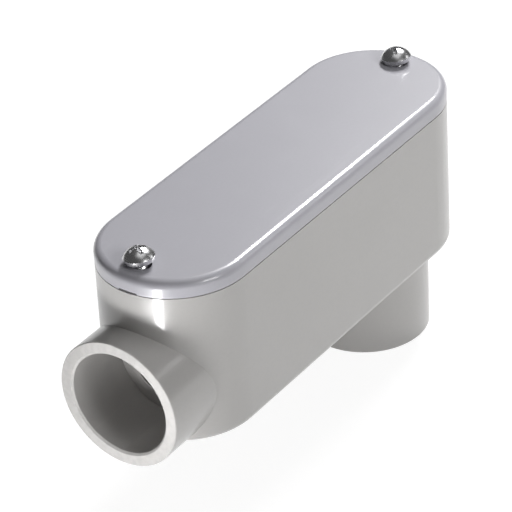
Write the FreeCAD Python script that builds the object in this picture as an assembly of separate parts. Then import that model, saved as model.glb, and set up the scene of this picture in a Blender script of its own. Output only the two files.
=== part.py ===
import FreeCAD
import Part

import math
import os

# Rigid PVC conduit body, 3/4 inch trade size, with a run hub on its front end and a
# second hub under its rear end, so that a conduit turns down through the back.
#
# Millimetres. The origin is the centre of the branch hub's open mouth. +Z points up from
# that mouth to the cover, and the run hub opens towards -X. The part is the same on
# both sides of the plane Y = 0.

# ---------------------------------------------------------------- driving dimensions

# Box with round ends
arc_spacing = 85.2              # between the axes of the two round ends
cover_half_width = 19.5
wall_draft = 0.2                # how far each outer wall leans out by the underside
body_height = 41.2              # underside to rim
bottom_edge_radius = 2.3
wall = 3.0                      # at the rim
cavity_draft = 0.2              # how far each inner wall leans in by the floor
floor_thickness = 3.0

# Hubs and their sockets
hub_wall = 3.35
hub_lip_break = 0.2             # bevel round the outside of each mouth
socket_radius = 13.55           # takes conduit of 26.7 mm outside diameter
socket_depth = 19.0
socket_lead_in = 0.5
throat_radius = 9.6             # bore past the conduit stop
stop_thickness = 3.0            # length of the run throat
throat_sill = 1.2               # run throat above the floor
throat_edge_break = 1.2         # bevel where wires turn into the branch
branch_hub_length = 22.6        # underside to branch mouth
branch_setback = 5.7            # branch axis in front of the rear arc's axis
run_hub_reach = 7.0             # run mouth in front of the cover's tip
hub_tail_angle_deg = 45.0       # slope that ends the run hub under the floor
saddle_shoulder = 9.0           # inner ledges beside the run socket, above its axis

# Screw bosses
screw_inset = 6.2               # screw axis behind the cover's tip at each end
boss_radius = 3.9
pilot_clearance = 0.05          # round the screw's core
pilot_depth = 11.5
screw_lean_deg = 6.0            # the screws were driven a little crooked, towards +Y

# Cover
cover_band = 4.35               # height of the cover's visible side
cover_edge_radius = 2.0
cover_lip = 1.2                 # width of the lip round the gasket's recess
gasket_recess = 1.35
seam_gap = 0.25                 # between the cover's lip and the body's rim
cover_hole_clearance = 0.4      # round the screw's thread
pry_notch_width = 5.2
pry_notch_height = 0.4

# Gasket
gasket_clearance = 0.3          # inside the cover's recess
gasket_width = 3.4
gasket_eye_width = 2.5          # of rubber round the screw's thread
gasket_hole_clearance = 0.3     # round the screw's thread

# Screws: number 8 self-tapping pan head
head_radius = 3.95
head_height = 3.5
head_side_height = 1.3          # from the bearing face to the widest place
head_bearing_radius = 3.5
thread_radius = 2.1
core_radius = 1.55
screw_length = 12.7             # below the head
screw_point = 2.0               # length of the tapered point
point_radius = 0.7
slot_width = 1.0
slot_depth = 0.75
cross_width = 0.95
cross_span = 4.4
cross_depth = 1.7
front_screw_lift = 1.0          # how far each screw is from being driven home
rear_screw_lift = 0.45

# ----------------------------------------------------------------- derived positions

floor_half_width = cover_half_width + wall_draft
hub_radius = socket_radius + hub_wall
screw_offset = cover_half_width - screw_inset
gasket_eye_radius = thread_radius + gasket_eye_width
front_arc_x = branch_setback - arc_spacing
rear_arc_x = branch_setback
run_mouth_x = front_arc_x - cover_half_width - run_hub_reach
run_stop_x = run_mouth_x + socket_depth
run_inner_x = run_stop_x + stop_thickness
underside_z = branch_hub_length
floor_z = underside_z + floor_thickness
rim_z = underside_z + body_height
run_axis_z = floor_z + throat_sill + throat_radius
lip_z = rim_z + seam_gap
cover_top_z = lip_z + cover_band
recess_top_z = lip_z + gasket_recess
recess_half_width = cover_half_width - cover_lip
gasket_half_width = recess_half_width - gasket_clearance
overrun = 1.0                   # how far a cutting tool runs past the face it opens

X_AXIS = FreeCAD.Vector(1, 0, 0)
Z_AXIS = FreeCAD.Vector(0, 0, 1)

SCREWS = {
    "front_cover_screw": (front_arc_x - screw_offset, front_screw_lift),
    "rear_cover_screw": (rear_arc_x + screw_offset, rear_screw_lift),
}


# -------------------------------------------------------------------- shape helpers

def point(x, y, z):
    return FreeCAD.Vector(x, y, z)


def stadium_wire(half_width, z):
    """Closed outline with two straight sides and two round ends, at height z."""
    front_low = point(front_arc_x, -half_width, z)
    rear_low = point(rear_arc_x, -half_width, z)
    rear_tip = point(rear_arc_x + half_width, 0, z)
    rear_high = point(rear_arc_x, half_width, z)
    front_high = point(front_arc_x, half_width, z)
    front_tip = point(front_arc_x - half_width, 0, z)
    return Part.Wire([
        Part.LineSegment(front_low, rear_low).toShape(),
        Part.Arc(rear_low, rear_tip, rear_high).toShape(),
        Part.LineSegment(rear_high, front_high).toShape(),
        Part.Arc(front_high, front_tip, front_low).toShape(),
    ])


def stadium_block(half_width_low, z_low, half_width_high, z_high):
    """Solid with two flat sides and two round ends, drafted where its two widths differ."""
    height = z_high - z_low
    if half_width_low == half_width_high:
        return Part.Face(stadium_wire(half_width_low, z_low)).extrude(Z_AXIS * height)
    middle = Part.makePolygon([
        point(front_arc_x, -half_width_low, z_low),
        point(front_arc_x, half_width_low, z_low),
        point(front_arc_x, half_width_high, z_high),
        point(front_arc_x, -half_width_high, z_high),
        point(front_arc_x, -half_width_low, z_low),
    ])
    block = Part.Face(middle).extrude(X_AXIS * arc_spacing)
    ends = []
    for x in (front_arc_x, rear_arc_x):
        base = point(x, 0, z_low)
        ends.append(Part.makeCone(half_width_low, half_width_high, height, base, Z_AXIS))
    return block.fuse(ends).removeSplitter()


def edges_at_height(shape, z):
    """The edges that lie wholly in the plane at height z."""
    reach = 1e-4
    found = []
    for edge in shape.Edges:
        box = edge.BoundBox
        if abs(box.ZMin - z) < reach and abs(box.ZMax - z) < reach:
            found.append(edge)
    return found


def turned(profile):
    """Full turn about Z of a closed outline with straight sides."""
    face = Part.Face(Part.makePolygon(profile + profile[:1]))
    return face.revolve(point(0, 0, 0), Z_AXIS, 360)


def cylinder_z(radius, x, z_low, z_high):
    return Part.makeCylinder(radius, z_high - z_low, point(x, 0, z_low), Z_AXIS)


def cylinder_x(radius, x_low, x_high, z):
    return Part.makeCylinder(radius, x_high - x_low, point(x_low, 0, z), X_AXIS)


# ------------------------------------------------------------------------------ body

def hub_outside(length, tail):
    """Hub along +Z from its mouth at z = 0, with a sloped tail past length."""
    tail_length = tail / math.tan(math.radians(hub_tail_angle_deg))
    profile = [
        point(0, 0, 0),
        point(hub_radius - hub_lip_break, 0, 0),
        point(hub_radius, 0, hub_lip_break),
        point(hub_radius, 0, length),
    ]
    if tail > 0:
        profile.append(point(hub_radius - tail, 0, length + tail_length))
    profile.append(point(0, 0, length + tail_length))
    return turned(profile)


def socket_inside(throat_length):
    """Socket with its lead-in, conduit stop and throat, along +Z from z = 0."""
    lead = socket_radius + socket_lead_in
    profile = [
        point(0, 0, -overrun),
        point(lead + overrun, 0, -overrun),
        point(socket_radius, 0, socket_lead_in),
        point(socket_radius, 0, socket_depth),
        point(throat_radius, 0, socket_depth),
        point(throat_radius, 0, socket_depth + throat_length),
        point(0, 0, socket_depth + throat_length),
    ]
    return turned(profile)


def run_placed(shape):
    """Turn a shape made along +Z so that it runs back from the run hub's mouth."""
    placed = shape.copy()
    placed.Placement = FreeCAD.Placement(
        point(run_mouth_x, 0, run_axis_z),
        FreeCAD.Rotation(point(0, 1, 0), 90),
    )
    return placed


def leaned(shape, x):
    """Shape turned with the screw at x, about the place where its axis crosses the rim."""
    turned_shape = shape.copy()
    turned_shape.rotate(point(x, 0, rim_z), X_AXIS, -screw_lean_deg)
    return turned_shape


def screw_boss(x, outward, z_low):
    """Round pillar for a cover screw, joined to the end wall by a web."""
    pillar = cylinder_z(boss_radius, x, z_low, rim_z + overrun)
    web = Part.makeBox(
        boss_radius + wall,
        2 * boss_radius,
        rim_z + overrun - z_low,
        point(min(x, x + outward * (boss_radius + wall)), -boss_radius, z_low),
    )
    return pillar.fuse(web)


def cavity():
    """The hollow that the body's core leaves: chamber less socket saddle and bosses."""
    rim_inside = cover_half_width - wall
    chamber = stadium_block(rim_inside - cavity_draft, floor_z, rim_inside, rim_z)
    mouth = stadium_block(rim_inside, rim_z, rim_inside, rim_z + overrun)
    nose_x = front_arc_x - floor_half_width
    saddle = cylinder_x(hub_radius, nose_x, run_inner_x, run_axis_z)
    shoulders = Part.makeBox(
        run_inner_x - nose_x,
        2 * floor_half_width,
        run_axis_z + saddle_shoulder - underside_z,
        point(nose_x, -floor_half_width, underside_z),
    )
    front_boss = screw_boss(SCREWS["front_cover_screw"][0], -1, run_axis_z)
    rear_boss = screw_boss(SCREWS["rear_cover_screw"][0], 1, underside_z)
    return chamber.fuse(mouth).cut([saddle, shoulders, front_boss, rear_boss])


def throat_bevel():
    """Ring that bevels the branch throat's upper edge, so that wires slide round it."""
    return turned([
        point(0, 0, floor_z - throat_edge_break),
        point(throat_radius, 0, floor_z - throat_edge_break),
        point(throat_radius + throat_edge_break, 0, floor_z),
        point(throat_radius + throat_edge_break, 0, floor_z + overrun),
        point(0, 0, floor_z + overrun),
    ])


def body():
    """One moulding: box with round ends, two hubs, conduit stops and screw bosses."""
    shell = stadium_block(floor_half_width, underside_z, cover_half_width, rim_z)
    shell = shell.makeFillet(bottom_edge_radius, edges_at_height(shell, underside_z))
    below_floor = run_axis_z - underside_z
    run_length = socket_depth + stop_thickness
    run_tail = hub_radius - below_floor + bottom_edge_radius
    run_hub = run_placed(hub_outside(run_length, run_tail))
    branch_hub = hub_outside(branch_hub_length + floor_thickness / 2, 0)
    pilots = []
    for x, lift in SCREWS.values():
        radius = core_radius + pilot_clearance
        pilot = cylinder_z(radius, x, rim_z - pilot_depth, rim_z + overrun)
        pilots.append(leaned(pilot, x))
    solid = shell.fuse([run_hub, branch_hub]).removeSplitter()
    hollows = [
        cavity(),
        run_placed(socket_inside(stop_thickness + overrun)),
        socket_inside(floor_z - socket_depth + overrun),
        throat_bevel(),
    ]
    return solid.cut(hollows + pilots)


# ------------------------------------------------------------------- cover and gasket

def cover():
    """Moulded plate with a rounded upper edge, a gasket recess and a pry notch."""
    plate = stadium_block(cover_half_width, lip_z, cover_half_width, cover_top_z)
    plate = plate.makeFillet(cover_edge_radius, edges_at_height(plate, cover_top_z))
    recess = stadium_block(recess_half_width, lip_z - overrun, recess_half_width, recess_top_z)
    notch = Part.makeBox(
        cover_lip + 2 * overrun,
        pry_notch_width,
        pry_notch_height + overrun,
        point(front_arc_x - cover_half_width - overrun, -pry_notch_width / 2, lip_z - overrun),
    )
    tools = [recess, notch]
    for x, lift in SCREWS.values():
        radius = thread_radius + cover_hole_clearance
        tools.append(cylinder_z(radius, x, lip_z, cover_top_z + overrun))
    return plate.cut(tools)


def gasket():
    """Soft ring squeezed between the cover's recess and the rim, with two screw eyes."""
    outer = stadium_block(gasket_half_width, rim_z, gasket_half_width, recess_top_z)
    inner_half_width = gasket_half_width - gasket_width
    inner = stadium_block(inner_half_width, rim_z - overrun, inner_half_width, recess_top_z + overrun)
    ring = outer.cut(inner)
    holes = []
    for x, lift in SCREWS.values():
        eye = cylinder_z(gasket_eye_radius, x, rim_z, recess_top_z)
        ring = ring.fuse(eye.common(outer))
        radius = thread_radius + gasket_hole_clearance
        holes.append(cylinder_z(radius, x, rim_z - overrun, recess_top_z + overrun))
    return ring.removeSplitter().cut(holes)


# ---------------------------------------------------------------------------- screws

def screw_blank():
    """Head, core and tapered point, turned about Z with the bearing face at z = 0."""
    crown = point(0, 0, head_height)
    widest = point(head_radius, 0, head_side_height)
    rise = crown.z - widest.z
    dome_radius = (widest.x ** 2 + rise ** 2) / (2 * rise)
    middle_x = widest.x / 2
    middle_z = head_height - dome_radius + math.sqrt(dome_radius ** 2 - middle_x ** 2)
    outline = [
        widest,
        point(head_bearing_radius, 0, 0),
        point(core_radius, 0, 0),
        point(core_radius, 0, screw_point - screw_length),
        point(point_radius, 0, -screw_length),
        point(0, 0, -screw_length),
        crown,
    ]
    edges = [Part.Arc(crown, point(middle_x, 0, middle_z), widest).toShape()]
    for start, end in zip(outline, outline[1:]):
        edges.append(Part.LineSegment(start, end).toShape())
    return Part.Face(Part.Wire(edges)).revolve(point(0, 0, 0), Z_AXIS, 360)


def bar_across(length, width, depth, turn_deg):
    """Straight tool sunk into the head by depth, turned about the screw's axis."""
    bar = Part.makeBox(length, width, depth + overrun, point(-length / 2, -width / 2, head_height - depth))
    bar.rotate(point(0, 0, 0), Z_AXIS, turn_deg)
    return bar


def screw(x, lift, turn_deg):
    """Pan-head screw with a combined cross and slot, standing on the cover's top."""
    blank = screw_blank()
    slot = bar_across(2 * head_radius + overrun, slot_width, slot_depth, turn_deg)
    wing_one = bar_across(cross_span, cross_width, cross_depth, turn_deg)
    wing_two = bar_across(cross_span, cross_width, cross_depth, turn_deg + 90)
    made = blank.cut([slot, wing_one, wing_two])
    made.translate(point(x, 0, cover_top_z + lift))
    return leaned(made, x)


# ---------------------------------------------------------------------------- output

def main():
    os.makedirs("parts", exist_ok=True)
    shapes = {
        "body": body(),
        "cover": cover(),
        "gasket": gasket(),
    }
    turns = {"front_cover_screw": 62.0, "rear_cover_screw": 35.0}
    for name, (x, lift) in SCREWS.items():
        shapes[name] = screw(x, lift, turns[name])
    for name, shape in shapes.items():
        shape.exportStep(os.path.join("parts", name + ".step"))
        print(name, "solids", len(shape.Solids), "valid", shape.isValid(), "cm3", round(shape.Volume / 1000, 3))


main()
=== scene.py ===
import math

import bmesh
import bpy
from bpy.props import FloatProperty, FloatVectorProperty, PointerProperty
from mathutils import Matrix, Vector


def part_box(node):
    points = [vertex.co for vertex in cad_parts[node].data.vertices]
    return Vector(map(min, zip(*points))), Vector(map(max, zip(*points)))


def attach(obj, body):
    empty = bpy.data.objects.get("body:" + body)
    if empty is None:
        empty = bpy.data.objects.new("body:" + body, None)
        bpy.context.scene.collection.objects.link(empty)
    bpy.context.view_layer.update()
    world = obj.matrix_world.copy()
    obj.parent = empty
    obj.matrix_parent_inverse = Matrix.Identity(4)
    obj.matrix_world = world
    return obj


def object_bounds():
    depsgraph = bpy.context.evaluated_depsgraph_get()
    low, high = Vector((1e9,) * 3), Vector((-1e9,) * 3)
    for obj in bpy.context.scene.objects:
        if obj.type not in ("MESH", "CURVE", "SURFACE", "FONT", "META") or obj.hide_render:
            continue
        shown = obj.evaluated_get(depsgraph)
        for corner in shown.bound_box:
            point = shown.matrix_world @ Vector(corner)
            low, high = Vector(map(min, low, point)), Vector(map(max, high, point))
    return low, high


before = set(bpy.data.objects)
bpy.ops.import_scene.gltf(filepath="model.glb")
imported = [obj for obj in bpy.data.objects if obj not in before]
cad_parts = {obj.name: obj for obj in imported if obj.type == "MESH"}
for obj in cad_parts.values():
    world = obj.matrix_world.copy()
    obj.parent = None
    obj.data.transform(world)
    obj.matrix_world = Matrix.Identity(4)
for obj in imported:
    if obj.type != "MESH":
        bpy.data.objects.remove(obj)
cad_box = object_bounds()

bl_info = {
    "name": "Conduit Body Finisher",
    "version": (1, 0, 0),
    "blender": (4, 5, 0),
    "location": "3D View > Sidebar > Conduit Body",
    "description": "Finishes a moulded conduit body, winds its screws' threads and sets the studio",
    "category": "Object",
}

SCREWS = ("front_cover_screw", "rear_cover_screw")

RUBBER_COLOUR = (0.012, 0.012, 0.013)

# distances from an edge at which its wear starts to fade and ends, in metres
MOUTH_WEAR = (0.0002, 0.0009)
LIP_WEAR = (0.0001, 0.0005)


# ------------------------------------------------------------------ shader helpers


class Signal:
    """One output socket of a material's nodes, on which Python's operators add Math nodes."""

    def __init__(self, bench, socket):
        self.bench = bench
        self.socket = socket

    def _math(self, operation, first, second):
        return self.bench.add("ShaderNodeMath", {"operation": operation}, {0: first, 1: second})

    def __add__(self, other):
        return self._math("ADD", self, other)

    __radd__ = __add__

    def __sub__(self, other):
        return self._math("SUBTRACT", self, other)

    def __rsub__(self, other):
        return self._math("SUBTRACT", other, self)

    def __mul__(self, other):
        return self._math("MULTIPLY", self, other)

    __rmul__ = __mul__

    def most(self, other):
        return self._math("MAXIMUM", self, other)

    def away_from(self, value):
        """How far this is from a value, either way."""
        return self._math("ABSOLUTE", self - value, 0.0)

    def between(self, low, high):
        """0 below low, 1 above high and a smooth rise between them."""
        values = {"Value": self, "From Min": low, "From Max": high}
        return self.bench.add("ShaderNodeMapRange", {"interpolation_type": "SMOOTHSTEP"}, values)


class Bench:
    """A material being made: its node tree and the calls that add to it."""

    def __init__(self, name):
        self.material = bpy.data.materials.new(name)
        self.material.use_nodes = True
        self.tree = self.material.node_tree
        self.tree.nodes.clear()

    def add(self, kind, settings=None, values=None, output=0):
        """Add one node, set its settings, then give its sockets values or links."""
        node = self.tree.nodes.new(kind)
        for name, value in (settings or {}).items():
            setattr(node, name, value)
        for name, value in (values or {}).items():
            if isinstance(value, Signal):
                self.tree.links.new(value.socket, node.inputs[name])
            else:
                node.inputs[name].default_value = value
        return Signal(self, node.outputs[output]) if node.outputs else None

    def place(self):
        """Object coordinates, in metres in the part's own frame."""
        return self.add("ShaderNodeTexCoord", output="Object")

    def part(self, place, axis):
        """The X, Y or Z of a vector."""
        return self.add("ShaderNodeSeparateXYZ", None, {0: place}, axis)

    def stretched(self, place, scale, turn=0.0):
        """Coordinates scaled along each axis, and only then turned about Z."""
        values = {"Vector": place, "Scale": scale, "Rotation": (0.0, 0.0, turn)}
        return self.add("ShaderNodeMapping", None, values)

    def noise(self, place, scale, detail=2.0, roughness=0.5):
        """Noise with about this many cells to the metre."""
        values = {"Vector": place, "Scale": scale, "Detail": detail, "Roughness": roughness}
        return self.add("ShaderNodeTexNoise", None, values)

    def blend(self, share, first, second):
        """Colour first where share is 0 and colour second where it is 1."""
        values = {"Factor": share, 6: first, 7: second}
        return self.add("ShaderNodeMix", {"data_type": "RGBA"}, values, 2)

    def bump(self, height, distance, strength, below=None):
        """Relief of a height signal, distance metres tall, over the relief below."""
        values = {"Height": height, "Distance": distance, "Strength": strength}
        if below:
            values["Normal"] = below
        return self.add("ShaderNodeBump", None, values)

    def finish(self, values):
        """Close the material with a principled shader that takes these values."""
        shader = self.add("ShaderNodeBsdfPrincipled", None, values)
        self.add("ShaderNodeOutputMaterial", None, {"Surface": shader})
        return self.material


def shaded(colour, share):
    """The colour made darker or lighter by a share, with an alpha of 1."""
    return (colour[0] * share, colour[1] * share, colour[2] * share, 1.0)


def give(node_name, material):
    """Put a finish on a CAD node in place of the one it came with."""
    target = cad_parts[node_name]
    target.data.materials.clear()
    target.data.materials.append(material)


def hairlines(bench, place, turn):
    """Thin straight scuffs along X, as handling leaves. Another turn gives another set."""
    streaks = bench.noise(bench.stretched(place, (30.0, 900.0, 900.0), turn), 1.0, 3.0)
    patches = bench.noise(place, 38.0, 2.0).between(0.5, 0.66)
    return streaks.between(0.62, 0.72) * patches


def moulded_pvc(name, colour, roughness, grain, edges):
    """Semi-gloss moulded plastic: faint flow mottle, fine grain, scuffs and rubbed edges."""
    bench = Bench(name)
    place = bench.place()
    flow = bench.noise(place, 45.0, 3.0).between(0.3, 0.7)
    speckle = bench.noise(place, 1400.0, 2.0).between(0.35, 0.75)
    rubbed = bench.noise(place, 120.0, 4.0, 0.6).between(0.45, 0.8)
    scuffs = hairlines(bench, place, 0.5).most(hairlines(bench, place, 2.2))
    worn = edges(bench, place) * bench.noise(place, 520.0, 3.0, 0.6).between(0.38, 0.62)
    broad = bench.blend(flow, shaded(colour, 0.99), shaded(colour, 1.01))
    speckled = bench.blend(speckle * 0.3, broad, shaded(colour, 0.94))
    scuffed = bench.blend(scuffs * 0.2, speckled, shaded(colour, 1.12))
    tint = bench.blend(worn * 0.55, scuffed, shaded(colour, 1.22))
    dull = rubbed * 0.03 + speckle * 0.02 + scuffs * 0.06 + worn * 0.15 + roughness
    ripple = bench.bump(bench.noise(place, 180.0, 1.0), 0.00006, grain)
    fine = bench.bump(bench.noise(place, 2200.0, 2.0), 0.00002, grain, ripple)
    scored = bench.bump(scuffs, 0.00001, 0.3, fine)
    values = {
        "Base Color": tint,
        "Roughness": dull,
        "Normal": scored,
        "IOR": 1.53,
        "Coat Weight": 0.5,
        "Coat Roughness": 0.1,
    }
    return bench.finish(values)


def body_edges(bench, place):
    """1 along the rim and round the two mouths, where the moulding is knocked."""
    along, height = bench.part(place, "X"), bench.part(place, "Z")
    low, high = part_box("body")
    run_mouth = 1 - along.away_from(low.x).between(*MOUTH_WEAR)
    branch_mouth = 1 - height.away_from(low.z).between(*MOUTH_WEAR)
    rim = 1 - height.away_from(high.z).between(*LIP_WEAR)
    return run_mouth.most(branch_mouth).most(rim) * 0.8


def cover_edges(bench, place):
    """1 along the cover's lower lip."""
    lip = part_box("cover")[0].z
    return (1 - bench.part(place, "Z").away_from(lip).between(*LIP_WEAR)) * 0.7


def soft_rubber(name, colour):
    """Matt black rubber with a fine bloom."""
    bench = Bench(name)
    place = bench.place()
    bloom = bench.noise(place, 600.0, 3.0).between(0.4, 0.75)
    tint = bench.blend(bloom * 0.5, shaded(colour, 1.0), shaded(colour, 2.2))
    grain = bench.bump(bench.noise(place, 1800.0), 0.00004, 0.4)
    return bench.finish({"Base Color": tint, "Roughness": bloom * 0.1 + 0.62, "Normal": grain})


def bright_plating(name, colour, roughness):
    """Bright zinc plating over headed steel: soft cloud, small dents and dark, rougher specks."""
    bench = Bench(name)
    place = bench.place()
    cloud = bench.noise(place, 420.0, 3.0).between(0.35, 0.75)
    specks = bench.noise(place, 2600.0, 2.0).between(0.6, 0.78)
    clean = bench.blend(cloud, shaded(colour, 1.0), shaded(colour, 0.86))
    tint = bench.blend(specks * 0.5, clean, shaded(colour, 0.45))
    dents = bench.bump(bench.noise(place, 520.0, 1.0), 0.00005, 0.3)
    drawn = bench.bump(specks, 0.00002, 0.4, dents)
    values = {
        "Base Color": tint,
        "Metallic": 1.0,
        "Roughness": cloud * 0.06 + specks * 0.12 + roughness,
        "Normal": drawn,
    }
    return bench.finish(values)


# ------------------------------------------------------------------- the user's sizes


class PlasticSettings(bpy.types.PropertyGroup):
    body_colour: FloatVectorProperty(
        name="Body colour",
        description="Colour of the moulded body",
        subtype="COLOR",
        default=(0.44, 0.43, 0.42),
        min=0.0,
        max=1.0,
    )
    cover_colour: FloatVectorProperty(
        name="Cover colour",
        description="Colour of the moulded cover, from its own batch of plastic",
        subtype="COLOR",
        default=(0.44, 0.435, 0.475),
        min=0.0,
        max=1.0,
    )
    roughness: FloatProperty(
        name="Roughness",
        description="Lowest roughness of the moulded surface",
        subtype="FACTOR",
        default=0.33,
        min=0.0,
        max=1.0,
    )
    grain: FloatProperty(
        name="Grain",
        description="Strength of the mould's texture",
        subtype="FACTOR",
        default=0.12,
        min=0.0,
        max=1.0,
    )


class ScrewSettings(bpy.types.PropertyGroup):
    plating_colour: FloatVectorProperty(
        name="Plating colour",
        description="Colour of the zinc plating",
        subtype="COLOR",
        default=(0.82, 0.82, 0.83),
        min=0.0,
        max=1.0,
    )
    plating_roughness: FloatProperty(
        name="Plating roughness",
        description="Lowest roughness of the plating",
        subtype="FACTOR",
        default=0.24,
        min=0.0,
        max=1.0,
    )
    length: FloatProperty(
        name="Length",
        description="Length of each screw below its head",
        subtype="DISTANCE",
        unit="LENGTH",
        default=0.0127,
        min=0.006,
    )
    core: FloatProperty(
        name="Core radius",
        description="Radius of the screw between its threads",
        subtype="DISTANCE",
        unit="LENGTH",
        default=0.00155,
        min=0.0005,
    )
    lean: FloatProperty(
        name="Lean",
        description="How far each screw leans, about the body's rim",
        subtype="ANGLE",
        default=math.radians(6.0),
    )
    thread_pitch: FloatProperty(
        name="Thread pitch",
        description="Rise of the thread in one turn",
        subtype="DISTANCE",
        unit="LENGTH",
        default=0.0016,
        min=0.0008,
        max=0.003,
    )
    thread_depth: FloatProperty(
        name="Thread depth",
        description="Height of the thread's crest over the core",
        subtype="DISTANCE",
        unit="LENGTH",
        default=0.0005,
        min=0.0001,
        max=0.001,
    )


class StudioSettings(bpy.types.PropertyGroup):
    azimuth: FloatProperty(
        name="Azimuth",
        description="Turn of the camera round the part",
        subtype="ANGLE",
        default=math.radians(-53.653),
    )
    elevation: FloatProperty(
        name="Elevation",
        description="Height of the camera over the horizon",
        subtype="ANGLE",
        default=math.radians(32.470),
    )
    roll: FloatProperty(
        name="Roll",
        description="Turn of the camera about its own line of sight",
        subtype="ANGLE",
        default=math.radians(-3.343),
    )
    distance: FloatProperty(
        name="Distance",
        description="From the camera to the point it looks at",
        subtype="DISTANCE",
        unit="LENGTH",
        default=0.7288,
        min=0.2,
    )
    aim: FloatVectorProperty(
        name="Aim",
        description="Point that the camera looks at",
        subtype="TRANSLATION",
        unit="LENGTH",
        default=(-0.04387, 0.00291, 0.04266),
    )
    lens: FloatProperty(
        name="Lens",
        description="Focal length on a 36 mm sensor",
        subtype="DISTANCE_CAMERA",
        default=205.57,
        min=20.0,
    )


# ------------------------------------------------------------------------ the threads

# lengths in metres; a pitch is one turn's rise
STEPS_PER_TURN = 28
FOOT_SHARE = 0.96               # ridge's foot over the core's radius, so that it is sunk in
FOOT_RISE = 0.42                # half the ridge's width at its foot, in pitches
CREST_RISE = 0.07               # half its width at its crest, in pitches
BARE_TOP = 0.7                  # plain core past the ridge's upper end, in pitches
BARE_POINT = 0.6                # plain core past its lower end, in pitches
TOP_HEIGHT = 0.3                # ridge's height at its upper end, as a share
POINT_LENGTH = 0.002            # tapered point of the screw
POINT_SHARE = 0.45              # core's radius at the very end, as a share


def object_of(context, name, shape):
    """Object in the scene that takes over the mesh worked on in shape."""
    mesh = bpy.data.meshes.new(name)
    shape.to_mesh(mesh)
    shape.free()
    made = bpy.data.objects.new(name, mesh)
    context.scene.collection.objects.link(made)
    return made


def wind_thread(context, name):
    """Helical ridge from under a screw's head to its point, leaned with the screw."""
    settings = context.scene.conduit_screws
    low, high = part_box(name)
    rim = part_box("body")[1].z
    tip = rim + (low.z - rim) / math.cos(settings.lean)
    pitch = settings.thread_pitch
    foot = settings.core * FOOT_SHARE
    crest = settings.core + settings.thread_depth
    top = tip + settings.length - pitch * BARE_TOP
    turns = (settings.length - pitch * (BARE_TOP + BARE_POINT)) / pitch
    shape = bmesh.new()
    corners = ((foot, FOOT_RISE), (foot, -FOOT_RISE), (crest, -CREST_RISE), (crest, CREST_RISE))
    ring = [shape.verts.new((radius, 0.0, top + rise * pitch)) for radius, rise in corners]
    for first, second in zip(ring, ring[1:] + ring[:1]):
        shape.edges.new((first, second))
    bmesh.ops.spin(
        shape,
        geom=shape.verts[:] + shape.edges[:],
        cent=(0.0, 0.0, 0.0),
        axis=(0.0, 0.0, 1.0),
        dvec=(0.0, 0.0, -pitch / STEPS_PER_TURN),
        angle=-math.tau * turns,
        steps=round(turns * STEPS_PER_TURN),
        use_merge=False,
    )
    open_edges = [edge for edge in shape.edges if edge.is_boundary]
    bmesh.ops.holes_fill(shape, edges=open_edges, sides=0)
    for vert in shape.verts:
        over_tip = max(0.0, vert.co.z - tip)
        under_top = max(0.0, (top - vert.co.z) / pitch + TOP_HEIGHT)
        run_out = min(1.0, under_top, over_tip / pitch)
        taper = min(1.0, POINT_SHARE + (1 - POINT_SHARE) * over_tip / POINT_LENGTH)
        radius = math.hypot(vert.co.x, vert.co.y)
        wanted = foot * taper + (radius - foot) * run_out
        vert.co.x *= wanted / radius
        vert.co.y *= wanted / radius
    bmesh.ops.recalc_face_normals(shape, faces=shape.faces)
    bmesh.ops.translate(shape, verts=shape.verts, vec=((low.x + high.x) / 2, 0.0, 0.0))
    turn = Matrix.Rotation(-settings.lean, 3, "X")
    bmesh.ops.rotate(shape, verts=shape.verts, cent=(0.0, 0.0, rim), matrix=turn)
    return object_of(context, name + "_thread", shape)


# -------------------------------------------------------------------------- the stage

WHITE = (1.0, 1.0, 1.0)
WORLD_STRENGTH = 0.07
FLOOR_SIZE = 3.0                # lengths in metres
FLOOR_GAP = 0.0002              # how far the floor lies under the part
FLOOR_LIT = 0.8                 # floor's white, where it throws light on the part
FLOOR_SHADE = 0.25              # how much of the light and shadow on it shows
FLOOR_GLOW = 0.86               # its own white, to the camera and in reflections
SENSOR_WIDTH = 36.0             # in millimetres, as the lens is
NEAREST_SEEN = 0.01

# where the lamps aim: the part's middle, and the nose beside the run hub
MIDDLE = (cad_box[0] + cad_box[1]) / 2
NOSE = Vector((cad_box[0].x + 0.0095, -0.005, 0.058))

# name, point it aims at, azimuth, elevation, distance, width, height, spread, watts
# (angles in degrees, lengths in metres)
LAMPS = (
    ("back", MIDDLE, 97.0, 50.0, 0.9, 0.2, 0.16, 180.0, 4.6),
    ("far", MIDDLE, 110.0, 41.0, 0.9, 0.2, 0.16, 180.0, 2.6),
    ("edge", MIDDLE, 50.0, 30.0, 0.9, 0.2, 0.15, 180.0, 0.25),
    ("side", MIDDLE, -10.0, 30.0, 0.9, 0.3, 0.3, 180.0, 2.8),
    ("overhead", MIDDLE, 0.0, 85.0, 0.9, 0.6, 0.6, 180.0, 0.7),
    ("low_front", NOSE, -91.0, -39.0, 0.08, 0.03, 0.012, 180.0, 0.036),
    ("glint", NOSE, -81.0, -33.0, 0.09, 0.018, 0.018, 40.0, 0.0022),
)


def direction(azimuth, elevation):
    """Unit vector from the part towards an azimuth and elevation in radians."""
    level = math.cos(elevation)
    return Vector((math.sin(azimuth) * level, -math.cos(azimuth) * level, math.sin(elevation)))


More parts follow.
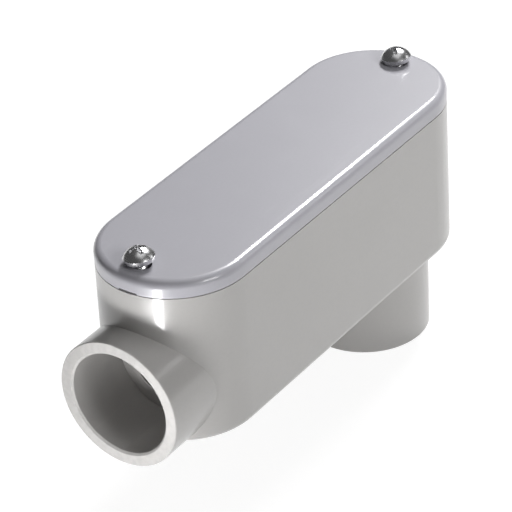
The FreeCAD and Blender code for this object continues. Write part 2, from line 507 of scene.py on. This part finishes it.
def lay_floor(context):
    """White floor that keeps a soft shadow, shows white in reflections and is clear from below."""
    shape = bmesh.new()
    bmesh.ops.create_grid(shape, x_segments=1, y_segments=1, size=FLOOR_SIZE)
    bmesh.ops.translate(shape, verts=shape.verts, vec=(0.0, 0.0, cad_box[0].z - FLOOR_GAP))
    floor = object_of(context, "floor", shape)
    bench = Bench("white_floor")
    camera, glossy, clear = (
        bench.add("ShaderNodeLightPath", output=ray)
        for ray in ("Is Camera Ray", "Is Glossy Ray", "Is Transmission Ray")
    )
    plain = bench.add("ShaderNodeBsdfDiffuse", None, {"Color": shaded(WHITE, FLOOR_LIT)})
    faint = bench.add("ShaderNodeBsdfDiffuse", None, {"Color": shaded(WHITE, FLOOR_SHADE)})
    lit = {"Color": shaded(WHITE, 1.0), "Strength": FLOOR_GLOW}
    glow = bench.add("ShaderNodeEmission", None, lit)
    seen = bench.add("ShaderNodeAddShader", None, {0: glow, 1: faint})
    looked_at = camera.most(glossy).most(clear)
    both = bench.add("ShaderNodeMixShader", None, {0: looked_at, 1: plain, 2: seen})
    under = bench.add("ShaderNodeNewGeometry", output="Backfacing")
    open_below = bench.add("ShaderNodeBsdfTransparent")
    sided = bench.add("ShaderNodeMixShader", None, {0: under, 1: both, 2: open_below})
    bench.add("ShaderNodeOutputMaterial", None, {"Surface": sided})
    floor.data.materials.append(bench.material)


def light_world(context):
    """Faint even light from all round."""
    world = bpy.data.worlds.new("studio")
    world.use_nodes = True
    background = world.node_tree.nodes["Background"]
    background.inputs["Color"].default_value = shaded(WHITE, 1.0)
    background.inputs["Strength"].default_value = WORLD_STRENGTH
    context.scene.world = world


def hang_lamp(context, name, aim, azimuth, elevation, distance, width, height, spread, power):
    """Rectangular lamp that shines at aim from an azimuth and elevation in degrees."""
    data = bpy.data.lights.new(name, "AREA")
    data.shape = "RECTANGLE"
    data.size = width
    data.size_y = height
    data.spread = math.radians(spread)
    data.energy = power
    lamp = bpy.data.objects.new(name, data)
    away = direction(math.radians(azimuth), math.radians(elevation))
    lamp.location = aim + away * distance
    lamp.rotation_euler = away.to_track_quat("Z", "Y").to_euler()
    context.scene.collection.objects.link(lamp)


def aim_camera(context):
    """Camera at the studio settings' place, turned about its line of sight by its roll."""
    settings = context.scene.conduit_studio
    data = bpy.data.cameras.new("camera")
    data.lens = settings.lens
    data.sensor_width = SENSOR_WIDTH
    data.clip_start = NEAREST_SEEN
    camera = bpy.data.objects.new("camera", data)
    away = direction(settings.azimuth, settings.elevation)
    place = Matrix.Translation(Vector(settings.aim) + away * settings.distance)
    facing = away.to_track_quat("Z", "Y").to_matrix().to_4x4()
    camera.matrix_world = place @ facing @ Matrix.Rotation(settings.roll, 4, "Z")
    context.scene.collection.objects.link(camera)
    context.scene.camera = camera


# ---------------------------------------------------------------------- the operators


class CONDUIT_OT_finish_body(bpy.types.Operator):
    """Give the moulded body its plastic"""

    bl_idname = "conduit.finish_body"
    bl_label = "Finish Body"

    def execute(self, context):
        settings = context.scene.conduit_plastic
        colour, roughness = settings.body_colour, settings.roughness
        finish = moulded_pvc("grey_pvc_body", colour, roughness, settings.grain, body_edges)
        give("body", finish)
        return {"FINISHED"}


class CONDUIT_OT_finish_cover(bpy.types.Operator):
    """Give the cover its plastic"""

    bl_idname = "conduit.finish_cover"
    bl_label = "Finish Cover"

    def execute(self, context):
        settings = context.scene.conduit_plastic
        colour, roughness = settings.cover_colour, settings.roughness
        finish = moulded_pvc("grey_pvc_cover", colour, roughness, settings.grain, cover_edges)
        give("cover", finish)
        return {"FINISHED"}


class CONDUIT_OT_finish_gasket(bpy.types.Operator):
    """Give the gasket its rubber"""

    bl_idname = "conduit.finish_gasket"
    bl_label = "Finish Gasket"

    def execute(self, context):
        give("gasket", soft_rubber("black_rubber", RUBBER_COLOUR))
        return {"FINISHED"}


class CONDUIT_OT_finish_screws(bpy.types.Operator):
    """Plate both cover screws"""

    bl_idname = "conduit.finish_screws"
    bl_label = "Finish Screws"

    def execute(self, context):
        settings = context.scene.conduit_screws
        colour, roughness = settings.plating_colour, settings.plating_roughness
        plating = bright_plating("zinc_plating", colour, roughness)
        for name in SCREWS:
            give(name, plating)
        return {"FINISHED"}


class CONDUIT_OT_wind_threads(bpy.types.Operator):
    """Wind a thread round the core of each cover screw"""

    bl_idname = "conduit.wind_threads"
    bl_label = "Wind Threads"

    def execute(self, context):
        for name in SCREWS:
            thread = wind_thread(context, name)
            thread.data.materials.append(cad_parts[name].data.materials[0])
            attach(thread, "root")
        return {"FINISHED"}


class CONDUIT_OT_set_stage(bpy.types.Operator):
    """Set the floor, the lamps and the camera"""

    bl_idname = "conduit.set_stage"
    bl_label = "Set Stage"

    def execute(self, context):
        lay_floor(context)
        light_world(context)
        for lamp in LAMPS:
            hang_lamp(context, *lamp)
        aim_camera(context)
        context.scene.view_settings.view_transform = "Standard"
        return {"FINISHED"}


# ---------------------------------------------------------- the panel and registration


class CONDUIT_PT_sidebar(bpy.types.Panel):
    """Lists the finishes, the pieces and the stage"""

    bl_idname = "CONDUIT_PT_sidebar"
    bl_label = "Conduit Body"
    bl_space_type = "VIEW_3D"
    bl_region_type = "UI"
    bl_category = "Conduit Body"

    def draw(self, context):
        scene = context.scene
        for group in (scene.conduit_plastic, scene.conduit_screws, scene.conduit_studio):
            box = self.layout.box()
            for name in group.__annotations__:
                box.prop(group, name)
        for operator in OPERATORS:
            self.layout.operator(operator.bl_idname)


OPERATORS = (
    CONDUIT_OT_finish_body,
    CONDUIT_OT_finish_cover,
    CONDUIT_OT_finish_gasket,
    CONDUIT_OT_finish_screws,
    CONDUIT_OT_wind_threads,
    CONDUIT_OT_set_stage,
)
CLASSES = (PlasticSettings, ScrewSettings, StudioSettings, *OPERATORS, CONDUIT_PT_sidebar)


def register():
    for made in CLASSES:
        bpy.utils.register_class(made)
    bpy.types.Scene.conduit_plastic = PointerProperty(type=PlasticSettings)
    bpy.types.Scene.conduit_screws = PointerProperty(type=ScrewSettings)
    bpy.types.Scene.conduit_studio = PointerProperty(type=StudioSettings)


def unregister():
    del bpy.types.Scene.conduit_studio
    del bpy.types.Scene.conduit_screws
    del bpy.types.Scene.conduit_plastic
    for made in reversed(CLASSES):
        bpy.utils.unregister_class(made)


def main():
    register()
    bpy.ops.conduit.finish_body()
    bpy.ops.conduit.finish_cover()
    bpy.ops.conduit.finish_gasket()
    bpy.ops.conduit.finish_screws()
    bpy.ops.conduit.wind_threads()
    bpy.ops.conduit.set_stage()


if __name__ == "__main__":
    main()
